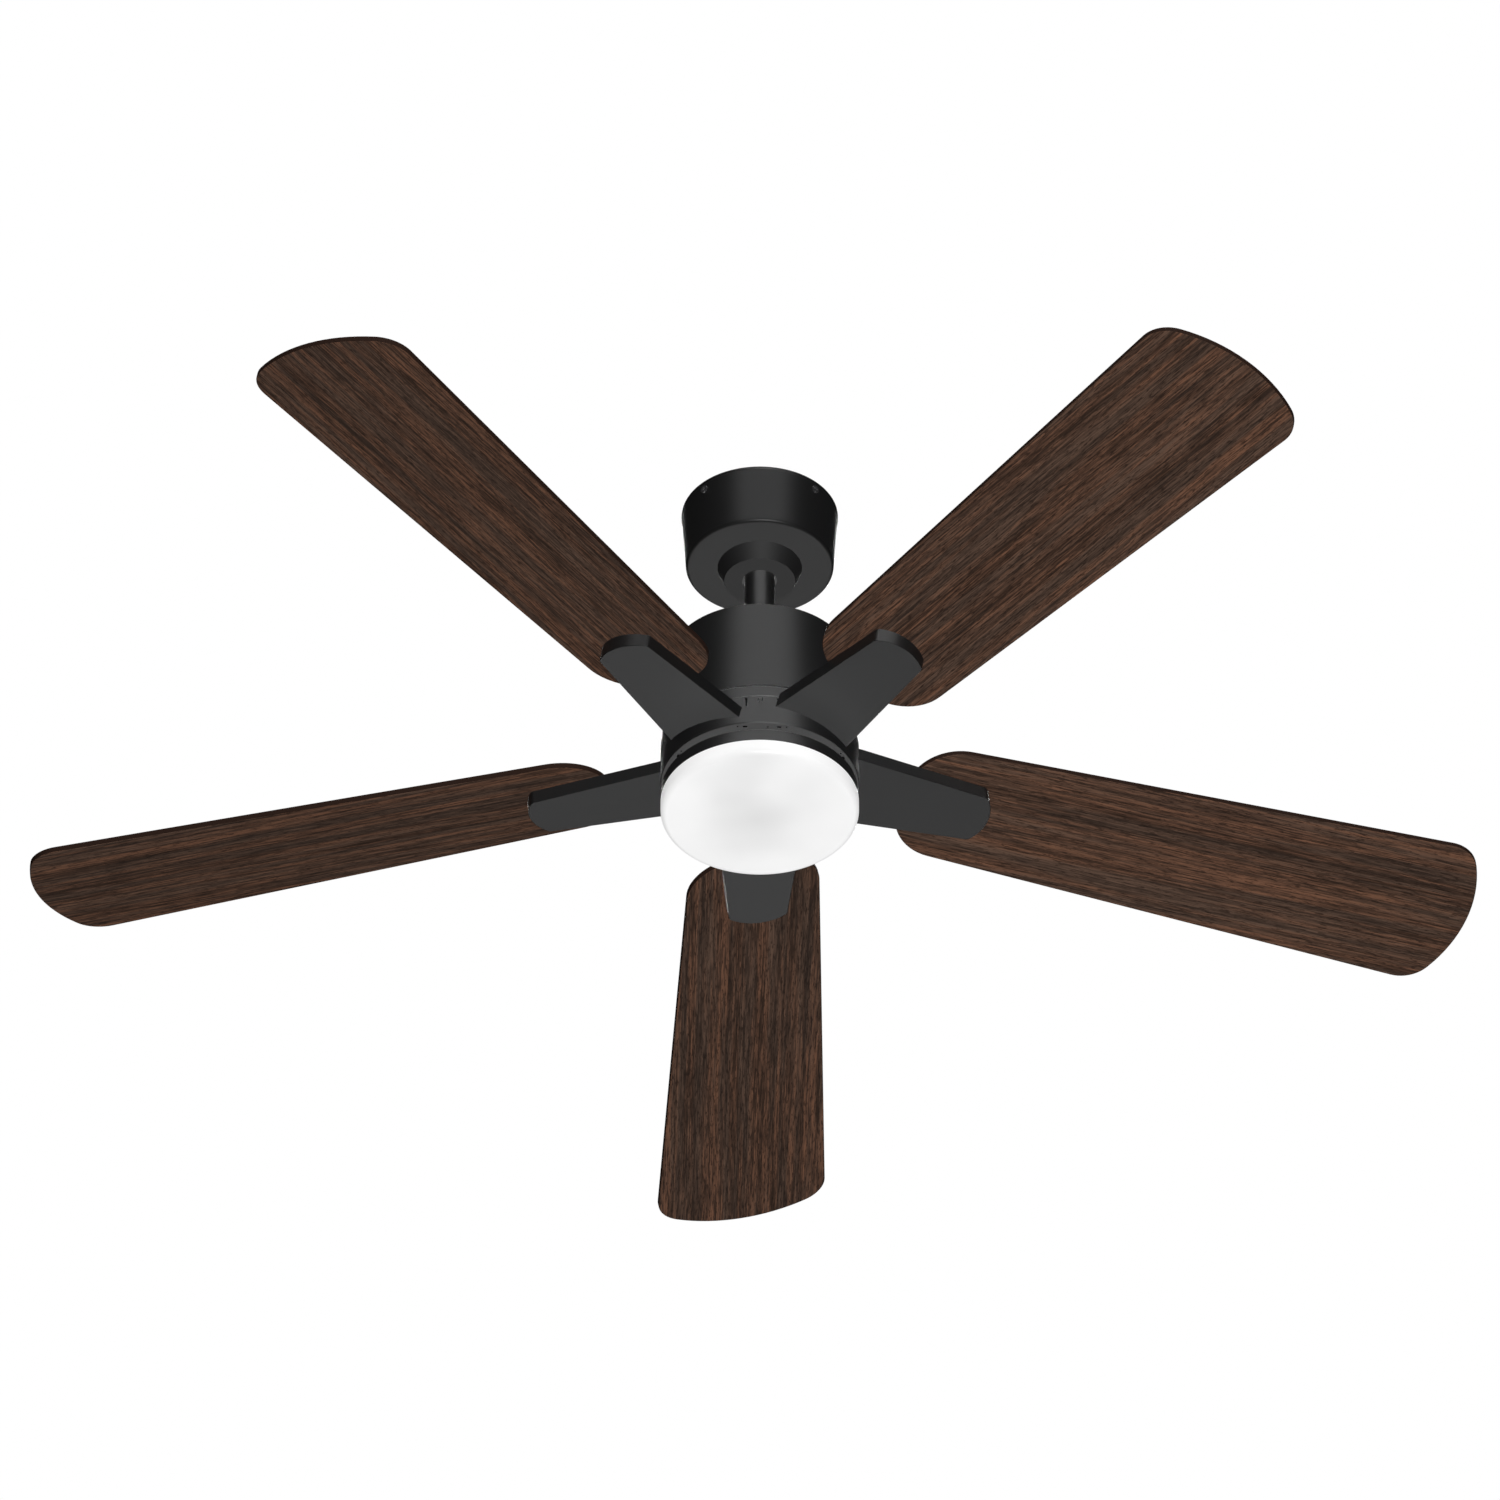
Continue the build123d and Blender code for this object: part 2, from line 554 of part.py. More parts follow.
with BuildPart() as stator_core:
    with BuildSketch(Plane.XY.offset(over(STATOR_BOTTOM))):
        Circle(STATOR_RADIUS)
        Circle(SHAFT_RADIUS, mode=Mode.SUBTRACT)
        with PolarLocations(SLOT_CENTRE_RADIUS, SLOT_COUNT):
            SlotOverall(*SLOT, mode=Mode.SUBTRACT)
        with PolarLocations(STATOR_RADIUS, SLOT_COUNT):
            Rectangle(12, 1.6, mode=Mode.SUBTRACT)
    extrude(amount=STATOR_TOP - STATOR_BOTTOM)
save(stator_core, "stator_core")

with BuildPart() as stator_windings:
    for start in (STATOR_TOP, STATOR_BOTTOM - WINDING_HEIGHT):
        with BuildSketch(Plane.XY.offset(over(start))):
            Circle(WINDING_OUTER)
            Circle(WINDING_INNER, mode=Mode.SUBTRACT)
        extrude(amount=WINDING_HEIGHT)
    fillet(stator_windings.edges().group_by(Axis.Z)[0], 3)
    fillet(stator_windings.edges().group_by(Axis.Z)[-1], 3)
    with BuildSketch(Plane.XY.offset(over(STATOR_BOTTOM))):
        with PolarLocations(SLOT_CENTRE_RADIUS, SLOT_COUNT):
            SlotOverall(SLOT[0] - 1, SLOT[1] - 1)
    extrude(amount=STATOR_TOP - STATOR_BOTTOM)
save(stator_windings, "stator_windings")


# ---- bearings: inner races on the shaft, outer races and balls in the rotor ------------------------
RACE_GAP = 0.1
BALL_PITCH_RADIUS = 12.5
BEARING_BALL_COUNT = 8
INNER_RACE_RADIUS = BALL_PITCH_RADIUS - BEARING_BALL - RACE_GAP
OUTER_RACE_RADIUS = BALL_PITCH_RADIUS + BEARING_BALL + RACE_GAP

for name, start in (("upper_bearing", UPPER_BEARING), ("lower_bearing", LOWER_BEARING)):
    with BuildPart() as inner_race:
        with BuildSketch(Plane.XY.offset(over(start))):
            Circle(INNER_RACE_RADIUS)
            Circle(SHAFT_RADIUS, mode=Mode.SUBTRACT)
        extrude(amount=BEARING_WIDTH)
    save(inner_race, f"{name}_inner_race")
    with BuildPart() as outer_race:
        with BuildSketch(Plane.XY.offset(over(start))):
            Circle(BEARING_RADIUS)
            Circle(OUTER_RACE_RADIUS, mode=Mode.SUBTRACT)
        extrude(amount=BEARING_WIDTH)
    save(outer_race, f"{name}_outer_race")
    with BuildPart() as balls:
        with Locations((0, 0, over(start) + BEARING_WIDTH / 2)):
            with PolarLocations(BALL_PITCH_RADIUS, BEARING_BALL_COUNT):
                Sphere(BEARING_BALL)
    save(balls, f"{name}_balls")

# ---- rotor: cage ring between two cast shells, screwed together --------------------------------------
ROTOR_BORE = 50.6
ROTOR_RADIUS = 64.0
SHELL_RADIUS = 70.0
SHELL_WALL = 3.0
SHELL_SPLIT = 49.0
SHELL_TOP = 98.0
SHELL_HOLE = 10.0
SHELL_SCREW_RADIUS = 66.8
SHELL_SCREW_COUNT = 5
SHELL_SCREW_HALF = 9.0
SHELL_CHAMFER = 6.0

with BuildPart() as rotor_ring:
    with BuildSketch(Plane.XY.offset(over(STATOR_BOTTOM))):
        Circle(ROTOR_RADIUS)
        Circle(ROTOR_BORE, mode=Mode.SUBTRACT)
    extrude(amount=STATOR_TOP - STATOR_BOTTOM)
save(rotor_ring, "rotor_ring")

for name, inner, outer, end, bearing in (
    ("rotor_upper_shell", SHELL_TOP - SHELL_WALL, SHELL_TOP, STATOR_TOP, UPPER_BEARING),
    ("rotor_lower_shell", SHELL_WALL, 0.0, STATOR_BOTTOM, LOWER_BEARING),
):
    bearing_end = bearing if bearing > SHELL_SPLIT else bearing + BEARING_WIDTH
    seat = bearing + BEARING_WIDTH if bearing > SHELL_SPLIT else bearing
    with BuildPart() as shell:
        with BuildSketch(Plane.XZ):
            with BuildLine():
                Polyline(
                    (SHELL_HOLE, over(outer)),
                    (SHELL_RADIUS - SHELL_CHAMFER, over(outer)),
                    (SHELL_RADIUS, over(outer + (inner - outer) * 2)),
                    (SHELL_RADIUS, over(SHELL_SPLIT)),
                    (ROTOR_RADIUS, over(SHELL_SPLIT)),
                    (ROTOR_RADIUS, over(end)),
                    (SHELL_RADIUS - 10, over(end)),
                    (SHELL_RADIUS - 12, over(inner)),
                    (BEARING_RADIUS + 4, over(inner)),
                    (BEARING_RADIUS + 4, over(bearing_end)),
                    (BEARING_RADIUS, over(bearing_end)),
                    (BEARING_RADIUS, over(seat)),
                    (SHELL_HOLE, over(seat)),
                    close=True,
                )
            make_face()
        revolve(axis=Axis.Z)
        with BuildSketch(Plane.XY.offset(over(SHELL_SPLIT - SHELL_SCREW_HALF - 1))):
            with PolarLocations(SHELL_SCREW_RADIUS, SHELL_SCREW_COUNT):
                Circle(2.0)
        extrude(amount=2 * SHELL_SCREW_HALF + 2, mode=Mode.SUBTRACT)
        with BuildSketch(Plane.XY.offset(over(0))):
            with Locations(*HUB_SCREW_SPOTS):
                Circle(SCREW_HOLE_RADIUS)
        extrude(amount=SHELL_WALL, mode=Mode.SUBTRACT)
    save(shell, name)

with BuildPart() as rotor_shell_screws:
    with BuildSketch(Plane.XY.offset(over(SHELL_SPLIT - SHELL_SCREW_HALF))):
        with PolarLocations(SHELL_SCREW_RADIUS, SHELL_SCREW_COUNT):
            Circle(1.9)
    extrude(amount=2 * SHELL_SCREW_HALF)
save(rotor_shell_screws, "rotor_shell_screws")

# ---- blade hub: the rotating ring that the arms are screwed to --------------------------------------
HUB_INNER = HUB_RADIUS - HUB_WALL
HUB_HOLE = 22.0
LIP_INNER = 75.0             # inward lip round the hub's lower edge
LIP = 2.0
SEAM_HEIGHT = 4.6
SEAM = 0.5
HUB_EDGE = 0.8
WINDOW = (13.0, 29.0)        # opening through the flange in each gap between two arms
WINDOW_RADIUS = HUB_INNER - 8
WALL_SLOT = (9.4, 1.5)       # the two upright slots in the wall of each gap
WALL_SLOT_SIDE = 13.6
WALL_SLOT_HEIGHT = -1.6
CATCH_HEIGHT = 4.6           # small upside-down U cut beside the slots
CATCH_WIDTH = 3.4
CATCH_LINE = 0.8
CATCH_SIDE = -1.5
LIP_HOLE_RADIUS = 79.2
LIP_SLOT = (4.4, 2.4)
LIP_SLOT_SIDE = 14.6
LIP_PIN_RADIUS = 0.9
LIP_PIN_SIDES = (-21, 5, 21)

with BuildPart() as blade_hub:
    with BuildSketch(Plane.XZ):
        with BuildLine():
            Polyline(
                (HUB_HOLE, over(0)),
                (HUB_INNER, over(0)),
                (HUB_INNER, over(HUB_TOP)),
                (HUB_RADIUS - HUB_EDGE, over(HUB_TOP)),
                (HUB_RADIUS, over(HUB_TOP - HUB_EDGE)),
                (HUB_RADIUS, over(SEAM_HEIGHT + SEAM)),
                (HUB_RADIUS - SEAM, over(SEAM_HEIGHT)),
                (HUB_RADIUS, over(SEAM_HEIGHT - SEAM)),
                (HUB_RADIUS, over(HUB_BOTTOM + HUB_EDGE)),
                (HUB_RADIUS - HUB_EDGE, over(HUB_BOTTOM)),
                (LIP_INNER, over(HUB_BOTTOM)),
                (LIP_INNER, over(HUB_BOTTOM + LIP)),
                (HUB_INNER, over(HUB_BOTTOM + LIP)),
                (HUB_INNER, over(-HUB_FLANGE)),
                (HUB_HOLE, over(-HUB_FLANGE)),
                close=True,
            )
        make_face()
    revolve(axis=Axis.Z)
    with BuildSketch(Plane.XY.offset(over(0))):
        with Locations(*HUB_SCREW_SPOTS):
            Circle(SCREW_HOLE_RADIUS)
        for azimuth in BLADE_AZIMUTHS:
            with Locations(*arm_screw_spots(azimuth)):
                Circle(SCREW_HOLE_RADIUS)
        for azimuth in GAP_AZIMUTHS:
            with Locations(Location(Vector(*direction(azimuth)) * WINDOW_RADIUS, (0, 0, azimuth))):
                Rectangle(*WINDOW)
    extrude(amount=-HUB_FLANGE, mode=Mode.SUBTRACT)
    for azimuth in GAP_AZIMUTHS:
        with BuildSketch(radial_plane(azimuth, HUB_INNER - 3, over(WALL_SLOT_HEIGHT))):
            with Locations((-WALL_SLOT_SIDE, 0), (WALL_SLOT_SIDE, 0)):
                SlotOverall(*WALL_SLOT, rotation=90)
            with Locations((CATCH_SIDE - CATCH_WIDTH / 2, 1.4), (CATCH_SIDE + CATCH_WIDTH / 2, 1.4)):
                SlotOverall(CATCH_HEIGHT, CATCH_LINE, rotation=90)
            with Locations((CATCH_SIDE, 3.6)):
                Rectangle(CATCH_WIDTH, CATCH_LINE)
        extrude(amount=8, mode=Mode.SUBTRACT)
        with BuildSketch(Plane.XY.offset(over(HUB_BOTTOM))):
            with Locations(Location(Vector(*direction(azimuth)) * LIP_HOLE_RADIUS, (0, 0, azimuth))):
                with Locations((0, -LIP_SLOT_SIDE), (0, LIP_SLOT_SIDE)):
                    SlotOverall(*LIP_SLOT, rotation=90)
                with Locations(*[(0, side) for side in LIP_PIN_SIDES]):
                    Circle(LIP_PIN_RADIUS)
        extrude(amount=LIP, mode=Mode.SUBTRACT)
    for azimuth in BLADE_AZIMUTHS:
        with BuildSketch(radial_plane(azimuth, HUB_INNER - 5, over(ARM_TONGUE_TOP - ARM_TONGUE[2] / 2))):
            Rectangle(ARM_TONGUE[1] + 0.4, ARM_TONGUE[2] + 0.4)
        extrude(amount=8, mode=Mode.SUBTRACT)
save(blade_hub, "blade_hub")

with BuildPart() as hub_screws:
    with BuildSketch(Plane.XY.offset(over(-HUB_FLANGE))):
        with Locations(*HUB_SCREW_SPOTS):
            Circle(4.0)
    extrude(amount=-2.4)
    with BuildSketch(Plane.XY.offset(over(-HUB_FLANGE))):
        with Locations(*HUB_SCREW_SPOTS):
            Circle(SCREW_SHANK_RADIUS)
    extrude(amount=HUB_FLANGE + SHELL_WALL)
save(hub_screws, "hub_screws")

TONGUE_BOTTOM = ARM_TONGUE_TOP - ARM_TONGUE[2]
with BuildPart() as arm_screws:
    for azimuth in BLADE_AZIMUTHS:
        with BuildSketch(Plane.XY.offset(over(TONGUE_BOTTOM))):
            with Locations(*arm_screw_spots(azimuth)):
                Circle(4.4)
        extrude(amount=-2.6)
        with BuildSketch(Plane.XY.offset(over(TONGUE_BOTTOM))):
            with Locations(*arm_screw_spots(azimuth)):
                Circle(SCREW_SHANK_RADIUS)
        extrude(amount=ARM_TONGUE[2] + HUB_FLANGE - 0.5)
save(arm_screws, "arm_screws")

# ---- blades and blade arms, one pair for each azimuth ------------------------------------------------
BLADE_SCREWS = [(152, -17), (152, 17), (190, 0)]
BLADE_HOLE_RADIUS = 2.6
BLADE_SCREW_SHANK = 2.0
BLADE_SCREW_DEPTH = 7.0      # how far a blade screw goes into the arm
TIP_RADIUS = SPAN / 2
ARM_ROOT_RADIUS = HUB_RADIUS - 16


def blade_half_width(radius):
    """Half the blade's width at a distance from the axis."""
    return BLADE_AXIS_HALF_WIDTH + BLADE_TAPER * radius


def arm_half_width(radius):
    """Half the arm's width at a distance from the axis."""
    return ARM_AXIS_HALF_WIDTH - ARM_TAPER * radius


def off_axis(point):
    """Distance of a point from the axis."""
    return math.hypot(point.X, point.Y)


def paddle(root, tip, arc, half_width, offset):
    """Tapered outline with an arched tip, drawn in the current sketch."""
    root_half = half_width(root)
    tip_half = half_width(tip)
    shoulder = tip - arc + math.sqrt(arc**2 - tip_half**2)
    with BuildLine() as border:
        Polyline(
            (shoulder, offset - tip_half),
            (root, offset - root_half),
            (root, offset + root_half),
            (shoulder, offset + tip_half),
        )
        ThreePointArc((shoulder, offset + tip_half), (tip, offset), (shoulder, offset - tip_half))
    make_face(border.edges())


for number, azimuth in enumerate(BLADE_AZIMUTHS, start=1):
    lower_face = pitched_plane(azimuth, BLADE_PITCH, 0)
    with BuildPart() as blade:
        with BuildSketch(lower_face) as outline:
            paddle(BLADE_ROOT_RADIUS, TIP_RADIUS, BLADE_TIP_ARC, blade_half_width, BLADE_SIDE_OFFSET)
            fillet(outline.vertices().group_by(Axis.X)[-1], BLADE_TIP_CORNER)
            fillet(outline.vertices().group_by(Axis.X)[0], BLADE_ROOT_CORNER)
        extrude(amount=BLADE_THICKNESS)
        faces = blade.faces().sort_by(Axis.Z)
        chamfer(faces[0].edges() + faces[-1].edges(), BLADE_EDGE_EASING)
        with BuildSketch(lower_face):
            with Locations(*BLADE_SCREWS):
                Circle(BLADE_HOLE_RADIUS)
        extrude(amount=BLADE_THICKNESS, mode=Mode.SUBTRACT)
    save(blade, f"blade_{number}")

    with BuildPart() as blade_arm:
        with BuildSketch(lower_face) as outline:
            paddle(ARM_ROOT_RADIUS, ARM_TIP_RADIUS, ARM_TIP_ARC, arm_half_width, ARM_SIDE_OFFSET)
            fillet(outline.vertices().group_by(Axis.X)[-1], ARM_TIP_CORNER)
        extrude(amount=-2 * ARM_DEPTH)
        split(bisect_by=pitched_plane(azimuth, ARM_UNDERSIDE_PITCH, -ARM_DEPTH), keep=Keep.TOP)
        underside = blade_arm.faces().sort_by(Axis.Z)[0]
        rim = underside.edges().filter_by(lambda edge: off_axis(edge @ 0.5) > ARM_ROOT_RADIUS + 1)
        fillet(rim, ARM_EDGE_EASING)
        with BuildSketch(Plane.XY.offset(over(-40))):
            Circle(HUB_RADIUS)
        extrude(amount=80, mode=Mode.SUBTRACT)
        with BuildSketch(radial_plane(azimuth, ARM_TONGUE[0], over(ARM_TONGUE_TOP - ARM_TONGUE[2] / 2))):
            Rectangle(ARM_TONGUE[1], ARM_TONGUE[2])
        extrude(amount=HUB_RADIUS + 8 - ARM_TONGUE[0])
        with BuildSketch(Plane.XY.offset(over(ARM_TONGUE_TOP))):
            with Locations(*arm_screw_spots(azimuth)):
                Circle(SCREW_HOLE_RADIUS)
        extrude(amount=-ARM_TONGUE[2], mode=Mode.SUBTRACT)
        with BuildSketch(lower_face):
            with Locations(*BLADE_SCREWS):
                Circle(BLADE_SCREW_SHANK + 0.1)
        extrude(amount=-BLADE_SCREW_DEPTH - 1, mode=Mode.SUBTRACT)
    save(blade_arm, f"blade_arm_{number}")

with BuildPart() as blade_screws:
    for azimuth in BLADE_AZIMUTHS:
        upper_face = pitched_plane(azimuth, BLADE_PITCH, BLADE_THICKNESS)
        with BuildSketch(upper_face):
            with Locations(*BLADE_SCREWS):
                Circle(5.0)
        extrude(amount=2.0, taper=18)
        with BuildSketch(upper_face):
            with Locations(*BLADE_SCREWS):
                Circle(BLADE_SCREW_SHANK)
        extrude(amount=-BLADE_THICKNESS - BLADE_SCREW_DEPTH)
        with BuildSketch(upper_face.offset(0.9)):
            with Locations(*BLADE_SCREWS):
                Rectangle(CROSS_LENGTH, CROSS_WIDTH)
                Rectangle(CROSS_WIDTH, CROSS_LENGTH)
        extrude(amount=2, mode=Mode.SUBTRACT)
save(blade_screws, "blade_screws")

# ---- light kit: pan, nut, driver, board and light chips -----------------------------------------------
PAN_INNER = PAN_RADIUS - PAN_WALL
PAN_FLOOR = PAN_TOP - PAN_WALL
DOME_FLOOR = DRIVER_DOME_TOP - PAN_WALL
DOME_INNER = DRIVER_DOME_RADIUS - PAN_WALL
LUG_COUNT = 3
LUG_HEIGHT = 1.5
PAN_LUG_WIDTH = 14.0
PAN_LUG_BOTTOM = -42.5
SHADE_LUG_WIDTH = 10.0
SHADE_LUG_BOTTOM = -40.7
BOARD_RADIUS = 76.0
BOARD_TOP = -35.5
BOARD_THICKNESS = 1.6
BOARD_BOTTOM = BOARD_TOP - BOARD_THICKNESS
BOARD_SCREWS = PolarLocations(68, 3, start_angle=30)
BOARD_SCREW_SHANK = 1.5
SHAFT_HOLE = SHAFT_RADIUS + 0.2

with BuildPart() as light_pan:
    with BuildSketch(Plane.XZ):
        with BuildLine():
            Polyline(
                (SHAFT_HOLE, over(DRIVER_DOME_TOP)),
                (DRIVER_DOME_RADIUS, over(DRIVER_DOME_TOP)),
                (DRIVER_DOME_RADIUS, over(PAN_TOP)),
                (PAN_RADIUS - 1, over(PAN_TOP)),
                (PAN_RADIUS, over(PAN_TOP - 1)),
                (PAN_RADIUS, over(PAN_BOTTOM)),
                (PAN_INNER, over(PAN_BOTTOM)),
                (PAN_INNER, over(PAN_FLOOR)),
                (DOME_INNER, over(PAN_FLOOR)),
                (DOME_INNER, over(DOME_FLOOR)),
                (SHAFT_HOLE, over(DOME_FLOOR)),
                close=True,
            )
        make_face()
    revolve(axis=Axis.Z)
    with BuildSketch(Plane.XY.offset(over(PAN_LUG_BOTTOM))):
        with PolarLocations(PAN_INNER - 0.3, LUG_COUNT):
            Rectangle(1.0, PAN_LUG_WIDTH)
    extrude(amount=LUG_HEIGHT)
    with BuildSketch(Plane.XY.offset(over(BOARD_TOP))):
        with Locations(*BOARD_SCREWS):
            Circle(4)
    extrude(amount=PAN_FLOOR - BOARD_TOP)
    with BuildSketch(Plane.XY.offset(over(BOARD_TOP))):
        with Locations(*BOARD_SCREWS):
            Circle(BOARD_SCREW_SHANK + 0.1)
    extrude(amount=3, mode=Mode.SUBTRACT)
save(light_pan, "light_pan")

WASHER_THICKNESS = 1.5
with BuildPart() as shaft_nut:
    with BuildSketch(Plane.XY.offset(over(DOME_FLOOR))):
        Circle(12.5)
        Circle(SHAFT_RADIUS, mode=Mode.SUBTRACT)
    extrude(amount=-WASHER_THICKNESS)
    with BuildSketch(Plane.XY.offset(over(DOME_FLOOR - WASHER_THICKNESS))):
        RegularPolygon(12, 6)
        Circle(SHAFT_RADIUS, mode=Mode.SUBTRACT)
    extrude(amount=-6)
save(shaft_nut, "shaft_nut")

DRIVER = (24.0, 52.0, 17.0)
DRIVER_CENTRE_X = 26.0
with BuildPart() as led_driver:
    with BuildSketch(Plane.XY.offset(over(DOME_FLOOR))):
        with Locations((DRIVER_CENTRE_X, 0)):
            RectangleRounded(DRIVER[0], DRIVER[1], 3)
    extrude(amount=-DRIVER[2])
save(led_driver, "led_driver")

with BuildPart() as led_board:
    with BuildSketch(Plane.XY.offset(over(BOARD_TOP))):
        Circle(BOARD_RADIUS)
        with Locations(*BOARD_SCREWS):
            Circle(BOARD_SCREW_SHANK + 0.2, mode=Mode.SUBTRACT)
    extrude(amount=-BOARD_THICKNESS)
save(led_board, "led_board")

CHIP = (3.0, 3.5, 0.8)
CHIP_RINGS = ((20, 6), (40, 12), (58, 18))   # ring radius and how many chips are on it
with BuildPart() as led_chips:
    with BuildSketch(Plane.XY.offset(over(BOARD_BOTTOM))):
        for ring_radius, count in CHIP_RINGS:
            with PolarLocations(ring_radius, count):
                Rectangle(CHIP[0], CHIP[1])
    extrude(amount=-CHIP[2])
save(led_chips, "led_chips")

with BuildPart() as board_screws:
    with BuildSketch(Plane.XY.offset(over(BOARD_BOTTOM))):
        with Locations(*BOARD_SCREWS):
            Circle(2.9)
    extrude(amount=-1.8)
    with BuildSketch(Plane.XY.offset(over(BOARD_BOTTOM))):
        with Locations(*BOARD_SCREWS):
            Circle(BOARD_SCREW_SHANK)
    extrude(amount=4)
save(board_screws, "board_screws")

# ---- insulated leads, from the receiver down the rod and the hollow shaft to the driver -----------------
LEAD_RADIUS = 1.1
LEAD_BEND = 4.0
LEAD_TOP_Z = -21.0
LEAD_ROD_Y = 5.6
LEADS = (                    # x in the rod, x and y in the shaft, height of the run to the driver
    (-2.6, -1.9, -1.2, -24.6),
    (0.0, 0.0, 2.2, -23.3),
    (2.6, 1.9, -1.2, -22.0),
)
with BuildPart() as lead_wires:
    for rod_x, shaft_x, shaft_y, run in LEADS:
        with BuildLine() as route:
            FilletPolyline(
                (rod_x, LEAD_ROD_Y, LEAD_TOP_Z),
                (rod_x, LEAD_ROD_Y, over(127)),
                (shaft_x, shaft_y, over(115.5)),
                (shaft_x, shaft_y, over(run)),
                (DRIVER_CENTRE_X - DRIVER[0] / 2, shaft_y, over(run)),
                radius=LEAD_BEND,
            )
        with BuildSketch(Plane.XY.offset(LEAD_TOP_Z)):
            with Locations((rod_x, LEAD_ROD_Y)):
                Circle(LEAD_RADIUS)
        sweep(path=route.line)
save(lead_wires, "lead_wires")

# ---- shade: a shallow drum that twists into the pan -----------------------------------------------------
SHADE_INNER = SHADE_RADIUS - SHADE_WALL
SHADE_NECK = PAN_INNER - 1.1
SHADE_NECK_WALL = 1.6
SHADE_NECK_HEIGHT = 6.0
EDGE_CENTRE = SHADE_RADIUS - SHADE_EDGE_RADIUS


def shade_corner(radius):
    """Quarter round between the shade's wall and its bottom, about their common centre."""
    centre_z = over(SHADE_BOTTOM + SHADE_EDGE_RADIUS)
    middle = radius * math.sqrt(0.5)
    ThreePointArc(
        (EDGE_CENTRE, centre_z - radius),
        (EDGE_CENTRE + middle, centre_z - middle),
        (EDGE_CENTRE + radius, centre_z),
    )


def shade_bottom(rise):
    """Shallow dome of the shade's bottom, raised by the thickness on the inside."""
    ThreePointArc(
        (0, over(SHADE_BOTTOM - SHADE_CROWN) + rise),
        (EDGE_CENTRE / 2, over(SHADE_BOTTOM - SHADE_CROWN * 0.75) + rise),
        (EDGE_CENTRE, over(SHADE_BOTTOM) + rise),
    )


with BuildPart() as lens_shade:
    with BuildSketch(Plane.XZ):
        with BuildLine():
            Line((0, over(SHADE_BOTTOM - SHADE_CROWN) + SHADE_WALL), (0, over(SHADE_BOTTOM - SHADE_CROWN)))
            shade_bottom(0)
            shade_corner(SHADE_EDGE_RADIUS)
            Polyline(
                (SHADE_RADIUS, over(SHADE_BOTTOM + SHADE_EDGE_RADIUS)),
                (SHADE_RADIUS, over(SHADE_TOP)),
                (SHADE_NECK, over(SHADE_TOP)),
                (SHADE_NECK, over(SHADE_TOP + SHADE_NECK_HEIGHT)),
                (SHADE_NECK - SHADE_NECK_WALL, over(SHADE_TOP + SHADE_NECK_HEIGHT)),
                (SHADE_NECK - SHADE_NECK_WALL, over(SHADE_TOP - SHADE_WALL)),
                (SHADE_INNER, over(SHADE_TOP - SHADE_WALL)),
                (SHADE_INNER, over(SHADE_BOTTOM + SHADE_EDGE_RADIUS)),
            )
            shade_corner(SHADE_EDGE_RADIUS - SHADE_WALL)
            shade_bottom(SHADE_WALL)
        make_face()
    revolve(axis=Axis.Z)
    with BuildSketch(Plane.XY.offset(over(SHADE_LUG_BOTTOM))):
        with PolarLocations(SHADE_NECK - 0.1, LUG_COUNT):
            Rectangle(1.6, SHADE_LUG_WIDTH)
    extrude(amount=LUG_HEIGHT)
save(lens_shade, "lens_shade")
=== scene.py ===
import json
import math

import bmesh
import bpy
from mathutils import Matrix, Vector


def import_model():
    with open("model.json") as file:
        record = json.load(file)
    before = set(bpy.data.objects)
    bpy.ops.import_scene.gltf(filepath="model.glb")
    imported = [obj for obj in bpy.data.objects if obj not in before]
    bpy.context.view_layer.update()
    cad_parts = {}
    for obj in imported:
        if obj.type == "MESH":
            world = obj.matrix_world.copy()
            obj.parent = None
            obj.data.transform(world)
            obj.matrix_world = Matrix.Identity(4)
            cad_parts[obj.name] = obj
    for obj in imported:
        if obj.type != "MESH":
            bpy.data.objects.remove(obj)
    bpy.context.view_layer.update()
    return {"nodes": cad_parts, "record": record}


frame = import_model()

# Ceiling fan with light, hung up: metres, with the ceiling at z = 0. These are the few sizes of the
# CAD that the looks need.
BLADE_COUNT = 5
FIRST_BLADE_AZIMUTH = 91.4       # degrees from +X
BLADE_PITCH = 12.0               # degrees
BLADE_DROP = 0.2785              # from the ceiling to the blades' undersides
BLADE_THICKNESS = 0.005
HUB_BOTTOM = -0.3034
HUB_WALL_INNER = 0.0845          # radius

SAME_SCALE = (1, 1, 1)
NO_HEIGHT = (1, 1, 0)            # scale that drops the height
slot_of = {part["node"]: part["material_slot"] for part in frame["record"]["subparts"]}


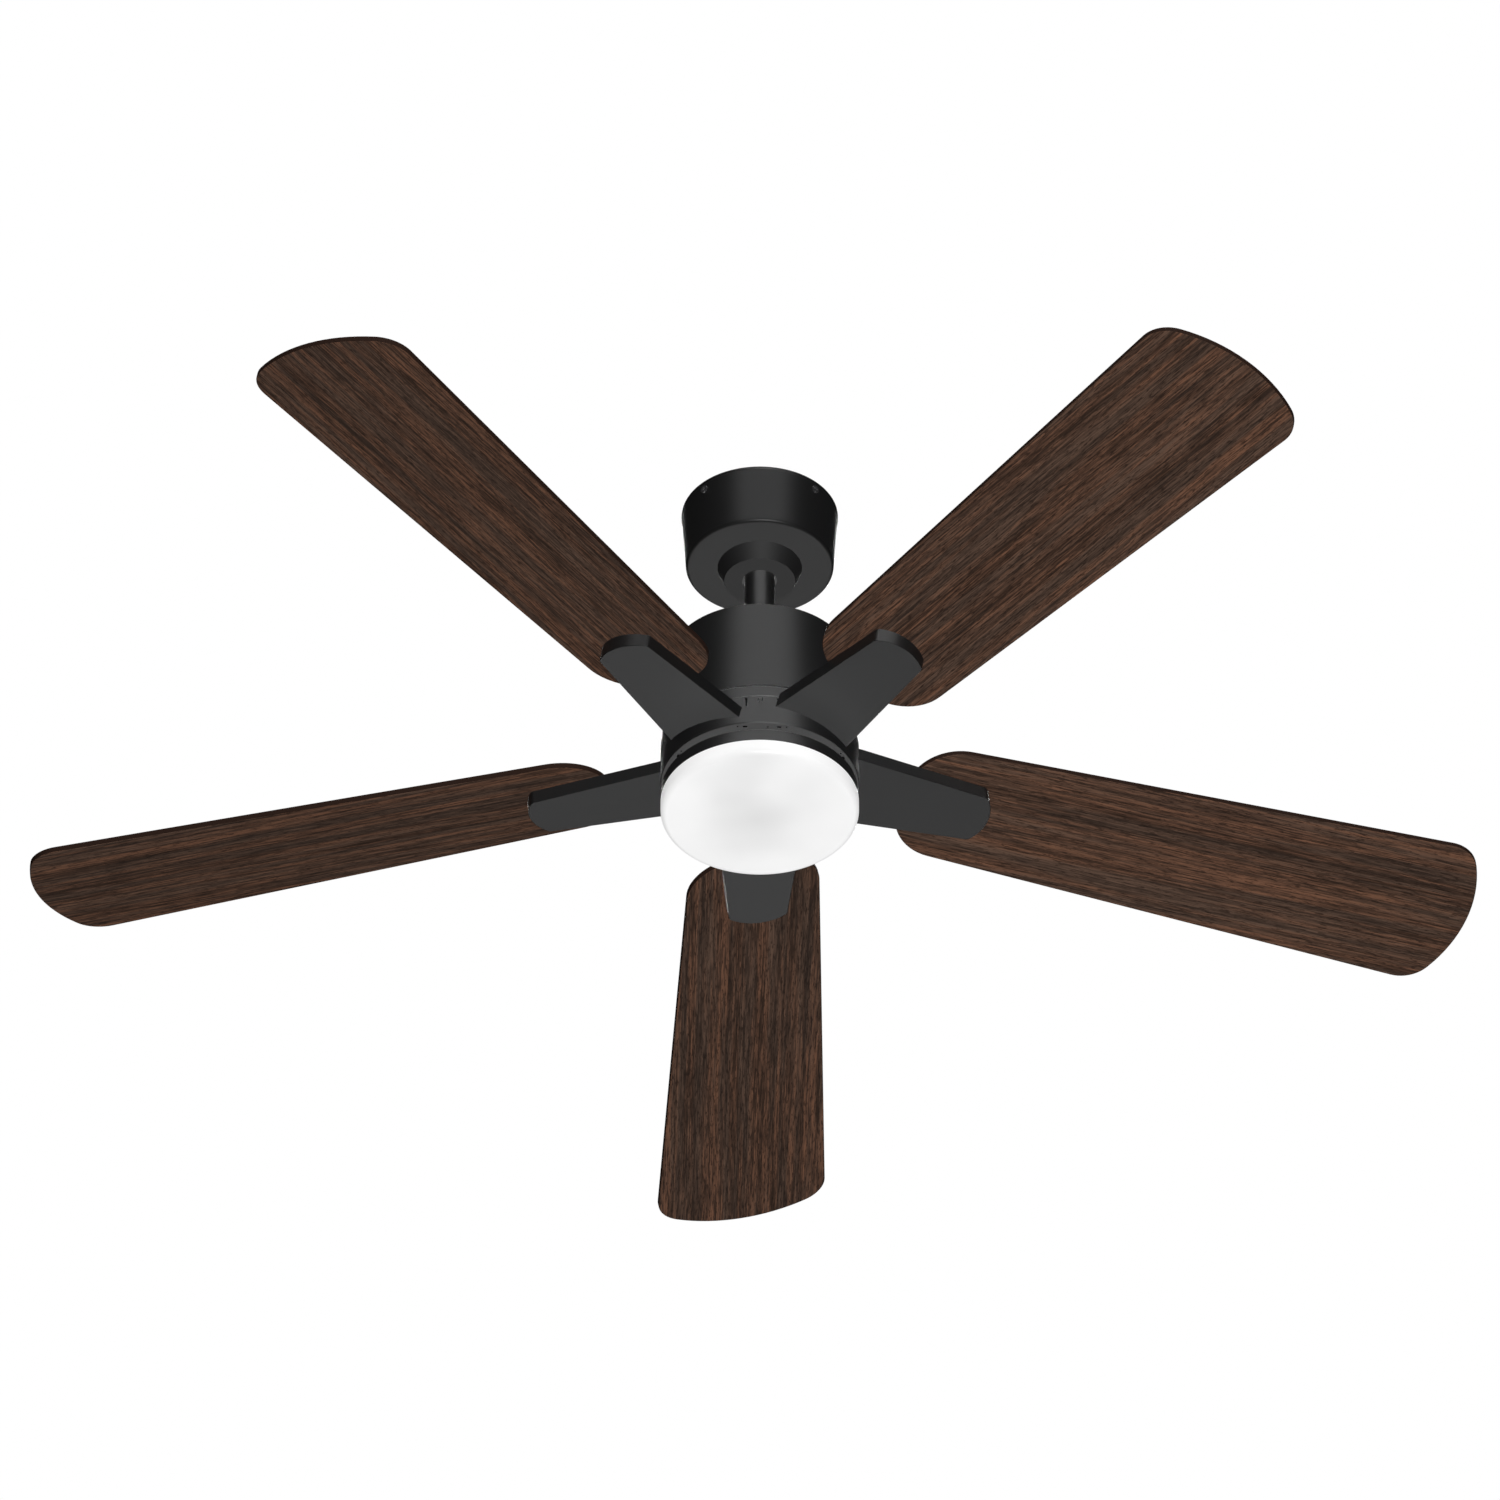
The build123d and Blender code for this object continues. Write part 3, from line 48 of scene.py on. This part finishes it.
# ---- material helpers ---------------------------------------------------------------------------
class Look:
    """A Principled material that is filled in with a few procedural nodes."""

    def __init__(self, name, roughness=0.5, metallic=0.0, specular=0.5):
        self.material = bpy.data.materials.new(name)
        self.material.use_nodes = True
        self.tree = self.material.node_tree
        self.shader = self.tree.nodes["Principled BSDF"]
        self.fix("Roughness", roughness)
        self.fix("Metallic", metallic)
        self.fix("Specular IOR Level", specular)
        self.place = self.add("ShaderNodeTexCoord").outputs["Object"]

    def fix(self, socket, value):
        """Set a shader socket that is the same all over."""
        self.shader.inputs[socket].default_value = value

    def set(self, socket, value):
        """Feed a shader socket from a node."""
        self.tree.links.new(value, self.shader.inputs[socket])

    def add(self, kind, values=(), **settings):
        node = self.tree.nodes.new(kind)
        for key, value in settings.items():
            setattr(node, key, value)
        for socket, value in dict(values).items():
            if isinstance(value, bpy.types.NodeSocket):
                self.tree.links.new(value, node.inputs[socket])
            else:
                node.inputs[socket].default_value = value
        return node

    def stretched(self, place, scale, turn=(0, 0, 0), shift=(0, 0, 0)):
        values = {"Vector": place, "Location": shift, "Rotation": turn, "Scale": scale}
        return self.add("ShaderNodeMapping", values).outputs["Vector"]

    def noise(self, place, scale, detail=2.0, rough=0.5):
        values = {"Vector": place, "Scale": scale, "Detail": detail, "Roughness": rough}
        return self.add("ShaderNodeTexNoise", values).outputs["Fac"]

    def ramp(self, fac, stops):
        """Colours or grey levels at positions along a 0 to 1 value."""
        node = self.add("ShaderNodeValToRGB", {"Fac": fac})
        points = node.color_ramp.elements
        while len(points) < len(stops):
            points.new(0.5)
        for point, (position, colour) in zip(points, stops):
            point.position = position
            point.color = rgba(colour if isinstance(colour, tuple) else (colour, colour, colour))
        return node.outputs["Color"]

    def calc(self, operation, a, b=0.0):
        return self.add("ShaderNodeMath", {0: a, 1: b}, operation=operation).outputs[0]

    def vector(self, operation, output, a, b=(0, 0, 0)):
        return self.add("ShaderNodeVectorMath", {0: a, 1: b}, operation=operation).outputs[output]

    def spread(self, fac, low, high):
        """A 0 to 1 value spread over a range."""
        values = {"Value": fac, "To Min": low, "To Max": high}
        return self.add("ShaderNodeMapRange", values).outputs["Result"]

    def mix(self, fac, a, b, mode="MIX"):
        node = self.add("ShaderNodeMix", {0: fac, 6: a, 7: b}, data_type="RGBA", blend_type=mode)
        return node.outputs[2]

    def height(self, place):
        return self.add("ShaderNodeSeparateXYZ", {0: place}).outputs["Z"]

    def edge(self, width, low=0.02, high=0.25):
        """About 1 within width of a sharp edge, 0 on the faces."""
        rounded = self.add("ShaderNodeBevel", {"Radius": width}, samples=4).outputs["Normal"]
        flat = self.add("ShaderNodeNewGeometry").outputs["Normal"]
        turn = self.vector("DOT_PRODUCT", "Value", rounded, flat)
        values = {"Value": self.calc("SUBTRACT", 1.0, turn), "From Min": low, "From Max": high}
        return self.add("ShaderNodeMapRange", values).outputs["Result"]

    def bump(self, height, strength, distance):
        values = {"Height": height, "Strength": strength, "Distance": distance}
        self.set("Normal", self.add("ShaderNodeBump", values).outputs["Normal"])


def srgb(red, green, blue):
    """Linear colour of an 8-bit display colour."""
    return tuple(
        level / 255 / 12.92 if level <= 10 else ((level / 255 + 0.055) / 1.055) ** 2.4
        for level in (red, green, blue)
    )


def rgba(colour):
    return (*colour, 1.0)


def grey(level):
    return (level, level, level)


def tinted(colour, factor, lift=0.0):
    """The colour made darker or lighter, never past white."""
    return tuple(min(1.0, level * factor + lift) for level in colour)


# ---- materials ----------------------------------------------------------------------------------
# Near black colour of the painted shade inside the hub.
PAINTED_SHADE_BLACK = rgba(grey(0.0004))


def coated(name, base, roughness, grain, specular=0.5, wear=0.35, painted_shade_inside=None):
    """Powder coat or moulded plastic: fine grain, slow colour drift, lighter worn edges.

    The last argument, a radius and a height, paints shade inside: nearer the axis and above that height,
    the coat is near black and reflects almost nothing.
    """
    look = Look(name, specular=specular)
    drift = look.noise(look.place, 9.0, 3.0)
    speck = look.noise(look.place, grain, 2.0, 0.6)
    body = look.ramp(drift, ((0.3, tinted(base, 0.86)), (0.7, tinted(base, 1.14))))
    body = look.mix(look.spread(speck, 0.0, 0.18), body, rgba(tinted(base, 1.5)))
    worn = rgba(tinted(base, 1.6, 0.008))
    body = look.mix(look.calc("MULTIPLY", look.edge(0.0006), wear), body, worn)
    rough = look.spread(speck, roughness - 0.05, roughness + 0.06)
    if painted_shade_inside:
        radius, height = painted_shade_inside
        off_axis = look.vector("LENGTH", "Value", look.stretched(look.place, NO_HEIGHT))
        within = look.calc("LESS_THAN", off_axis, radius)
        above = look.calc("GREATER_THAN", look.height(look.place), height)
        painted_inside_shade = look.calc("MULTIPLY", within, above)
        # Painted shade: the inside is coloured near black, and full roughness plus metal on a black base
        # takes away its sheen.
        body = look.mix(painted_inside_shade, body, PAINTED_SHADE_BLACK)
        rough = look.calc("MAXIMUM", rough, painted_inside_shade)
        look.set("Metallic", painted_inside_shade)
    look.set("Base Color", body)
    look.set("Roughness", rough)
    look.bump(speck, 0.12, 0.00012)
    return look.material


def metal(name, base, roughness, stretch, wear=0.4):
    """Bare or plated metal with fine working marks."""
    look = Look(name, metallic=1.0)
    marks = look.noise(look.stretched(look.place, stretch), 3.0, 4.0, 0.65)
    bloom = look.noise(look.place, 45.0, 3.0, 0.6)
    body = look.ramp(bloom, ((0.3, tinted(base, 0.82)), (0.72, tinted(base, 1.1))))
    worn = rgba(tinted(base, 1.3))
    body = look.mix(look.calc("MULTIPLY", look.edge(0.0003), wear), body, worn)
    look.set("Base Color", body)
    look.set("Roughness", look.spread(marks, roughness - 0.08, roughness + 0.14))
    look.bump(marks, 0.15, 0.0001)
    return look.material


PAINTED_SHADE_SPOTS = (                    # centre, radius and depth of the spots of painted shade on the lens
    ((-0.002, 0.003, 0), 0.066, 0.27),
    ((-0.002, -0.078, 0), 0.044, 0.15),
    ((-0.034, -0.042, 0), 0.046, 0.10),
    ((0.040, -0.038, 0), 0.046, 0.07),
)


def opal(name):
    """Frosted acrylic that glows faintly, with painted shade in soft spots, the largest in the middle.
    """
    look = Look(name, roughness=0.32, specular=0.3)
    cloud = look.noise(look.place, 16.0, 1.0, 0.4)
    grain = look.noise(look.place, 900.0, 2.0)
    wander = look.spread(cloud, -0.012, 0.012)
    flat = look.stretched(look.place, NO_HEIGHT)
    # Painted shade: soft darker spots, summed here, then taken off both the colour and the glow.
    painted_shade = 0.0
    for spot, reach, depth in PAINTED_SHADE_SPOTS:
        near = look.calc("ADD", look.vector("DISTANCE", "Value", flat, spot), wander)
        values = {"Value": near, "From Min": 0.0, "From Max": reach, "To Min": depth, "To Max": 0.0}
        shade = look.add("ShaderNodeMapRange", values, interpolation_type="SMOOTHSTEP").outputs["Result"]
        painted_shade = look.calc("ADD", shade, painted_shade)
    body = look.ramp(cloud, ((0.3, 0.43), (0.7, 0.48)))
    painted_shade_factor = look.calc("SUBTRACT", 1.0, look.calc("MULTIPLY", painted_shade, 0.5))
    # The base colour carries half of the painted shade.
    look.set("Base Color", look.mix(1.0, body, painted_shade_factor, mode="MULTIPLY"))
    look.set("Roughness", look.spread(grain, 0.28, 0.4))
    look.fix("Subsurface Weight", 0.15)
    look.fix("Subsurface Radius", grey(0.01))
    # The glow carries the painted shade in full.
    look.set("Emission Color", look.calc("SUBTRACT", 1.0, painted_shade))
    look.fix("Emission Strength", 0.52)
    look.bump(grain, 0.05, 0.00005)
    return look.material


# The veneer's noise scales, along and across the grain, with detail and roughness.
SWAY = ((2.2, 5, 1), 2.0, 0.5)
BANDS = ((0.8, 75, 75), 3.0, 0.6)
LINES = ((4.5, 270, 270), 3.0, 0.65)
FIBRES = ((30, 780, 780), 2.0, 0.7)
HUE = ((2.5, 75, 75), 3.0, 0.6)
PORES = ((110, 950, 950), 2.0, 0.6)
BANDS_SHARE, LINES_SHARE, FIBRES_SHARE = 0.16, 0.38, 0.46
BROWN = ((0.42, srgb(49, 38, 32)), (0.50, srgb(72, 56, 47)), (0.59, srgb(94, 73, 61)))
RED_BROWN = ((0.42, srgb(50, 36, 28)), (0.50, srgb(81, 58, 46)), (0.59, srgb(116, 81, 62)))
PORE_COLOUR = rgba(srgb(34, 24, 19))
EDGE_BAND_COLOUR = rgba(srgb(40, 28, 23))
EDGE_BAND_SETBACK = 0.0002       # how far the edge band stops short of both faces


def walnut(name, azimuth, number):
    """Dark walnut veneer, its grain along one blade and different on each."""
    look = Look(name, specular=0.015)
    turned = look.stretched(look.place, SAME_SCALE, (0, 0, -math.radians(azimuth)), (0, 0, BLADE_DROP))
    board = look.stretched(turned, SAME_SCALE, (math.radians(BLADE_PITCH), 0, 0))
    shift = (number * 5.3, number * 2.1, number * 1.3)

    def layer(place, kind, offset=shift):
        scale, detail, rough = kind
        return look.noise(look.stretched(place, scale, shift=offset), 1.0, detail, rough)

    sideways = look.spread(layer(board, SWAY), -0.004, 0.004)
    bend = look.add("ShaderNodeCombineXYZ", {"Y": sideways}).outputs[0]
    grain = look.vector("ADD", "Vector", board, bend)
    bands = layer(grain, BANDS)
    lines = layer(grain, LINES)
    fibres = layer(grain, FIBRES)
    hue = layer(grain, HUE, (shift[1], shift[0], 0))
    pores = layer(grain, PORES)
    tone = look.calc("MULTIPLY", bands, BANDS_SHARE)
    tone = look.calc("ADD", tone, look.calc("MULTIPLY", lines, LINES_SHARE))
    tone = look.calc("ADD", tone, look.calc("MULTIPLY", fibres, FIBRES_SHARE))
    redness = look.ramp(hue, ((0.43, 0.0), (0.58, 0.9)))
    body = look.mix(redness, look.ramp(tone, BROWN), look.ramp(tone, RED_BROWN))
    pore = look.ramp(pores, ((0.36, 1.0), (0.46, 0.0)))
    body = look.mix(look.calc("MULTIPLY", pore, 0.75), body, PORE_COLOUR)
    middle = BLADE_THICKNESS / 2
    off_middle = look.calc("ABSOLUTE", look.calc("SUBTRACT", look.height(board), middle))
    banding = look.calc("LESS_THAN", off_middle, middle - EDGE_BAND_SETBACK)
    body = look.mix(banding, body, EDGE_BAND_COLOUR)
    look.set("Base Color", body)
    look.set("Roughness", look.spread(lines, 0.42, 0.58))
    look.bump(look.calc("SUBTRACT", lines, pore), 0.12, 0.0001)
    return look.material


PAINT = (0.006, 0.006, 0.0062)


def black_paint(name, specular, roughness=0.4, painted_shade_inside=None):
    return coated(name, PAINT, roughness, 2600.0, specular=specular, painted_shade_inside=painted_shade_inside)


LOOKS = {
    "matte_black": black_paint("matte_black", 0.29),
    "black_screw": coated("black_screw", (0.02, 0.02, 0.021), 0.36, 3500.0),
    "black_plastic": coated("black_plastic", grey(0.03), 0.5, 2200.0),
    "white_plastic": coated("white_plastic", (0.72, 0.72, 0.70), 0.45, 2200.0, wear=0.1),
    "nylon": coated("nylon", (0.70, 0.69, 0.64), 0.4, 1800.0, wear=0.1),
    "lead_insulation": coated("lead_insulation", grey(0.55), 0.42, 2500.0, wear=0.0),
    "light_board": coated("light_board", grey(0.80), 0.35, 1500.0, wear=0.1),
    "light_chip": coated("light_chip", (0.80, 0.68, 0.22), 0.3, 4000.0, wear=0.1),
    "galvanised_steel": metal("galvanised_steel", (0.50, 0.51, 0.53), 0.36, (60, 60, 60)),
    "cast_aluminium": metal("cast_aluminium", (0.55, 0.56, 0.58), 0.5, (400, 400, 400)),
    "lamination_steel": metal("lamination_steel", (0.24, 0.25, 0.27), 0.42, (4, 4, 900)),
    "bearing_steel": metal("bearing_steel", (0.62, 0.63, 0.65), 0.18, (200, 200, 600)),
    "copper_winding": metal("copper_winding", (0.55, 0.23, 0.10), 0.34, (500, 500, 120)),
    "opal_shade": opal("opal_shade"),
}
NODE_LOOKS = {                   # nodes whose paint has its own sheen
    "canopy": black_paint("black_canopy", 0.25),
    "canopy_collar": black_paint("black_collar", 0.38, roughness=0.58),
    "downrod": black_paint("black_rod", 0.36),
    # the hub's inside is painted shade, near black with no sheen
    "blade_hub": black_paint("black_hub", 0.44, painted_shade_inside=(HUB_WALL_INNER, HUB_BOTTOM + 0.0005)),
    "light_pan": black_paint("black_pan", 0.44),
}


# ---- dress the CAD nodes ------------------------------------------------------------------------
def dress(piece, material):
    piece.data.materials.clear()
    piece.data.materials.append(material)


for node, piece in frame["nodes"].items():
    slot = slot_of[node]
    if slot != "walnut":
        dress(piece, NODE_LOOKS.get(node, LOOKS[slot]))
for number in range(1, BLADE_COUNT + 1):
    azimuth = FIRST_BLADE_AZIMUTH + 360.0 / BLADE_COUNT * (number - 1)
    dress(frame["nodes"][f"blade_{number}"], walnut(f"walnut_{number}", azimuth, number))


# ---- stage, light and camera --------------------------------------------------------------------
# The soft lights reach the nodes that can be seen from outside, and only the floor stops them, so
# the fan casts no shadow on itself.
INNER_NODES = (
    "stator_core", "stator_windings", "rotor_ring", "rotor_upper_shell", "rotor_lower_shell",
    "rotor_shell_screws", "motor_shaft", "hub_screws", "arm_screws", "shaft_nut", "led_driver",
    "led_board", "led_chips", "board_screws", "upper_bearing_inner_race", "lower_bearing_inner_race",
    "upper_bearing_outer_race", "upper_bearing_balls", "lower_bearing_outer_race", "lower_bearing_balls",
)
FLOOR_HEIGHT = -25.0             # below every camera that looks up at the fan
FLOOR_HALF_SIZE = 150.0
FAN_MIDDLE = (0, 0, -0.25)
blockers = bpy.data.collections.new("blockers")
outside = bpy.data.collections.new("outside")
for node, piece in frame["nodes"].items():
    if node not in INNER_NODES:
        outside.objects.link(piece)


def floor():
    """Plain pale floor; its own glow keeps it near white and lights nothing else."""
    mesh = bpy.data.meshes.new("floor")
    form = bmesh.new()
    bmesh.ops.create_grid(form, x_segments=4, y_segments=4, size=FLOOR_HALF_SIZE)
    form.to_mesh(mesh)
    form.free()
    piece = bpy.data.objects.new("floor", mesh)
    piece.location.z = FLOOR_HEIGHT
    bpy.context.scene.collection.objects.link(piece)
    look = Look("floor_paint", roughness=0.9, specular=0.1)
    cloud = look.noise(look.place, 0.6, 2.0)
    look.set("Base Color", look.ramp(cloud, ((0.3, 0.10), (0.7, 0.12))))
    look.fix("Emission Color", rgba(grey(1.0)))
    look.fix("Emission Strength", 0.96)
    piece.data.materials.append(look.material)
    blockers.objects.link(piece)
    only_floor = bpy.data.collections.new("only_floor")
    only_floor.objects.link(piece)
    piece.light_linking.receiver_collection = only_floor


def soft_light(name, place, size, power):
    """A large area light aimed at the fan and not seen itself."""
    data = bpy.data.lights.new(name, "AREA")
    data.shape = "RECTANGLE"
    data.size, data.size_y = size
    data.energy = power
    data.cycles.use_multiple_importance_sampling = False
    lamp = bpy.data.objects.new(name, data)
    lamp.location = place
    lamp.rotation_euler = (Vector(FAN_MIDDLE) - Vector(place)).to_track_quat("-Z", "Y").to_euler()
    lamp.visible_camera = False
    lamp.light_linking.blocker_collection = blockers
    lamp.light_linking.receiver_collection = outside
    bpy.context.scene.collection.objects.link(lamp)


def world():
    """White behind the fan, with only a faint fill light."""
    scene_world = bpy.data.worlds.new("studio")
    bpy.context.scene.world = scene_world
    scene_world.use_nodes = True
    tree = scene_world.node_tree
    tree.nodes.clear()
    seen = tree.nodes.new("ShaderNodeBackground")
    seen.inputs["Color"].default_value = rgba(grey(1.0))
    fill = tree.nodes.new("ShaderNodeBackground")
    fill.inputs["Color"].default_value = rgba(grey(0.03))
    path = tree.nodes.new("ShaderNodeLightPath")
    choose = tree.nodes.new("ShaderNodeMixShader")
    out = tree.nodes.new("ShaderNodeOutputWorld")
    tree.links.new(path.outputs["Is Camera Ray"], choose.inputs[0])
    tree.links.new(fill.outputs[0], choose.inputs[1])
    tree.links.new(seen.outputs[0], choose.inputs[2])
    tree.links.new(choose.outputs[0], out.inputs["Surface"])


floor()
world()
soft_light("head", (1.0, -6.6, -5.2), (3.0, 3.0), 640.0)
soft_light("key", (0.3, -4.0, 4.1), (6.4, 2.2), 175.0)
soft_light("front", (0.0, -7.2, 0.2), (7.0, 3.0), 90.0)
soft_light("under", (0.35, 5.0, -5.3), (7.5, 6.5), 236.0)
soft_light("back", (0.0, 6.0, 6.0), (5.0, 4.0), 170.0)

camera_data = bpy.data.cameras.new("camera")
camera_data.sensor_width = 36.0
camera_data.lens = 257.2
camera_data.shift_x = -0.0065
camera_data.clip_end = 500.0
camera = bpy.data.objects.new("camera", camera_data)
camera.location = (0.0, -7.1986, -6.1238)
camera.rotation_euler = (math.pi / 2 + 0.6832, 0.0, 0.0)     # looking up by 0.6832 radians
bpy.context.scene.collection.objects.link(camera)
bpy.context.scene.camera = camera
bpy.context.scene.view_settings.view_transform = "Standard"
